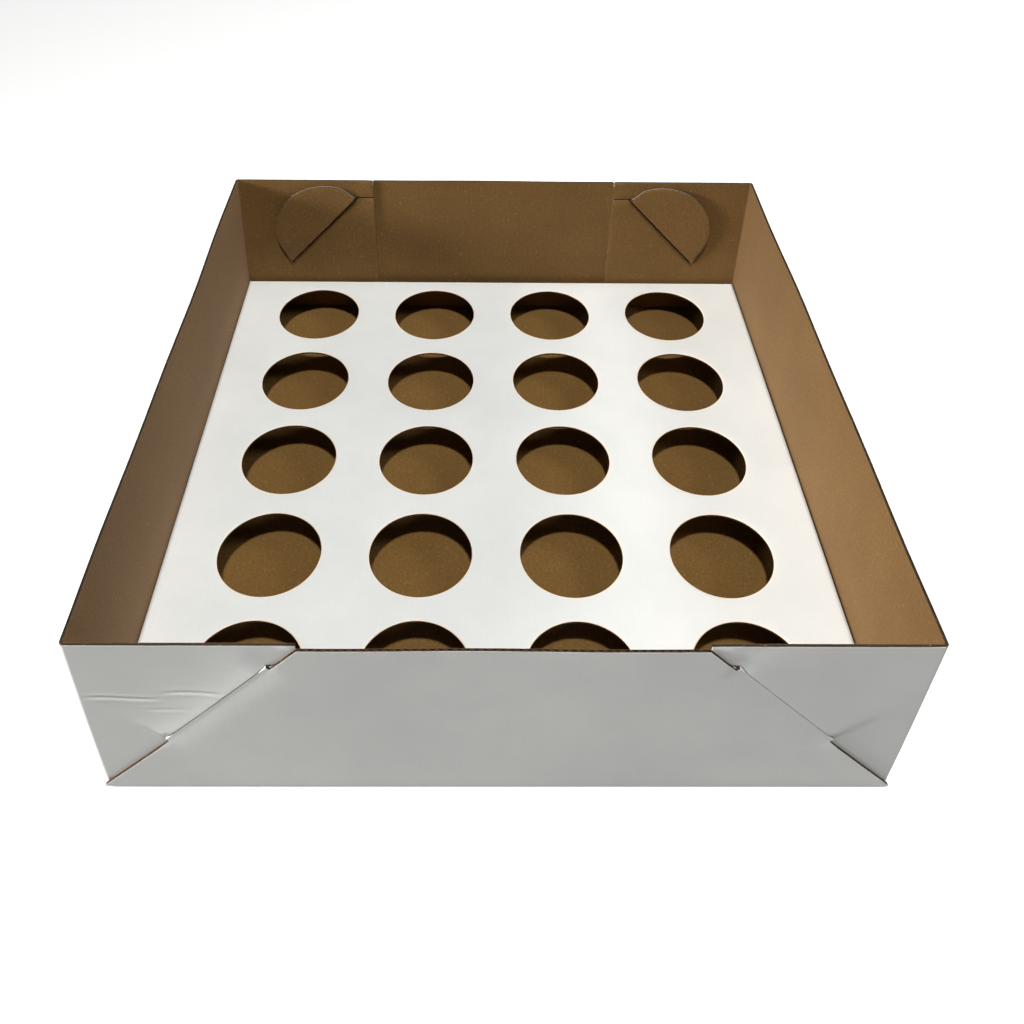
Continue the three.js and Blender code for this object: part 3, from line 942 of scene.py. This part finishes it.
def stage():
    mesh = bpy.data.meshes.new("studio_floor")
    steps, reach, height = 24, 6.0, -0.0004
    places = [-reach + 2 * reach * i / steps for i in range(steps + 1)]
    row = steps + 1
    tiles = [j * row + i for j in range(steps) for i in range(steps)]
    mesh.from_pydata([(x, y, height) for y in places for x in places], [],
                     [(tile, tile + 1, tile + row + 1, tile + row) for tile in tiles])
    floor = bpy.data.objects.new("studio_floor", mesh)
    bpy.context.scene.collection.objects.link(floor)
    material = bpy.data.materials.new("pale_studio_floor")
    material.use_nodes = True
    tree = material.node_tree
    shader = tree.nodes["Principled BSDF"]
    shader.inputs["Roughness"].default_value = 0.9
    shader.inputs["Specular IOR Level"].default_value = 0.1
    seen = tree.nodes.new("ShaderNodeLightPath").outputs["Is Camera Ray"]
    place = tree.nodes.new("ShaderNodeNewGeometry").outputs["Position"]
    cloud = noise_node(tree, place, 1.7, 2.0)
    pale = tree.nodes.new("ShaderNodeMix")
    pale.data_type = "RGBA"
    pale.inputs[6].default_value = (0.92, 0.92, 0.92, 1)
    pale.inputs[7].default_value = (0.96, 0.96, 0.955, 1)
    tree.links.new(cloud, pale.inputs[0])
    lit = tree.nodes.new("ShaderNodeMix")
    lit.data_type = "RGBA"
    lit.inputs[6].default_value = (0.37, 0.37, 0.37, 1)
    tree.links.new(pale.outputs[2], lit.inputs[7])
    tree.links.new(seen, lit.inputs[0])
    tree.links.new(lit.outputs[2], shader.inputs["Base Color"])
    distance = tree.nodes.new("ShaderNodeVectorMath")
    distance.operation = "LENGTH"
    tree.links.new(place, distance.inputs[0])
    glow_near, glow_more = 0.34, 0.70                  # the floor glows more the further it is from the tray
    glow = math_node(tree, "MULTIPLY_ADD", span(tree, distance.outputs["Value"], 0.7, 3.2), glow_more, glow_near)
    glow = math_node(tree, "MULTIPLY", seen, glow)
    shader.inputs["Emission Color"].default_value = (1, 1, 1, 1)
    tree.links.new(glow, shader.inputs["Emission Strength"])
    mesh.materials.append(material)

    world = bpy.data.worlds.new("studio_air")
    bpy.context.scene.world = world
    world.use_nodes = True
    air = world.node_tree
    air.nodes["Background"].inputs["Color"].default_value = (1.0, 1.0, 1.0, 1)
    looked_at = air.nodes.new("ShaderNodeLightPath").outputs["Is Camera Ray"]
    ambient, backdrop = 0.04, 0.86
    strength = math_node(air, "MULTIPLY_ADD", looked_at, backdrop, ambient)
    air.links.new(strength, air.nodes["Background"].inputs["Strength"])

    def area_light(name, place, aim, size, power, colour=(1, 1, 1), spread=180):
        light = bpy.data.lights.new(name, "AREA")
        light.shape = "DISK"
        light.size = size
        light.energy = power
        light.color = colour
        light.spread = math.radians(spread)
        lamp = bpy.data.objects.new(name, light)
        bpy.context.scene.collection.objects.link(lamp)
        lamp.location = place
        way = np.array(aim) - np.array(place)
        lamp.rotation_euler = (
            math.atan2(math.hypot(way[0], way[1]), -way[2]), 0, math.atan2(way[1], way[0]) - math.pi / 2)
        return lamp

    area_light("ceiling_lamp", (0.0, -0.49, 1.91), (0, 0.0, 0.02), 0.15, 28.6)
    window, far_wall = (-1.25, -0.20, 0.45), (0.165, -0.10, 0.05)
    area_light("left_window", window, far_wall, 0.3, 1.1, (1.0, 0.95, 0.90), 60)
    flagged = area_light("left_window_flagged", window, far_wall, 0.3, 1.7, (1.0, 0.94, 0.89), 60)
    # the second lamp is flagged off the outside of the left wall, which would burn out
    shaded = bpy.data.collections.new("behind_the_flag")
    shaded.objects.link(bpy.data.objects["side_board_left"])
    shaded.collection_objects[0].light_linking.link_state = "EXCLUDE"
    flagged.light_linking.receiver_collection = shaded
    tray = (0, 0, 0.04)
    area_light("right_window", (1.5, 0.05, 0.47), tray, 0.7, 3.2, (1.0, 0.96, 0.92))
    area_light("right_softbox", (1.1, 0.1, 1.1), tray, 0.5, 6.6, (1.0, 0.97, 0.94))
    area_light("back_window", (0.3, 1.6, 0.6), tray, 0.7, 2.4)


def camera():
    view = bpy.data.cameras.new("tray_camera")
    view.sensor_width = 36.0
    view.lens = 33.383
    view.shift_x = 0.0264
    view.shift_y = -0.1641
    view.clip_start = 0.01
    view.clip_end = 50.0
    eye = bpy.data.objects.new("tray_camera", view)
    bpy.context.scene.collection.objects.link(eye)
    eye.location = (-0.010696, -0.353185, 0.401024)
    eye.rotation_euler = (math.radians(49.891), math.radians(-0.603), math.radians(-0.252))
    bpy.context.scene.camera = eye


base_board()
for side_name, side in SIDES:
    side_board(side_name, side)
for end_name, end in ENDS:
    end_board(end_name, end)
    for side_name, side in SIDES:
        flap_board(end_name, end, side_name, side)
        half_moon(end_name, end, side_name, side)
        lock_crease(end_name, end, side_name, side)
        corner_crease(end_name, end, side_name, side)
foot_creases()
deck_board()
skirt_boards()
stage()
camera()
bpy.context.scene.view_settings.view_transform = "Standard"
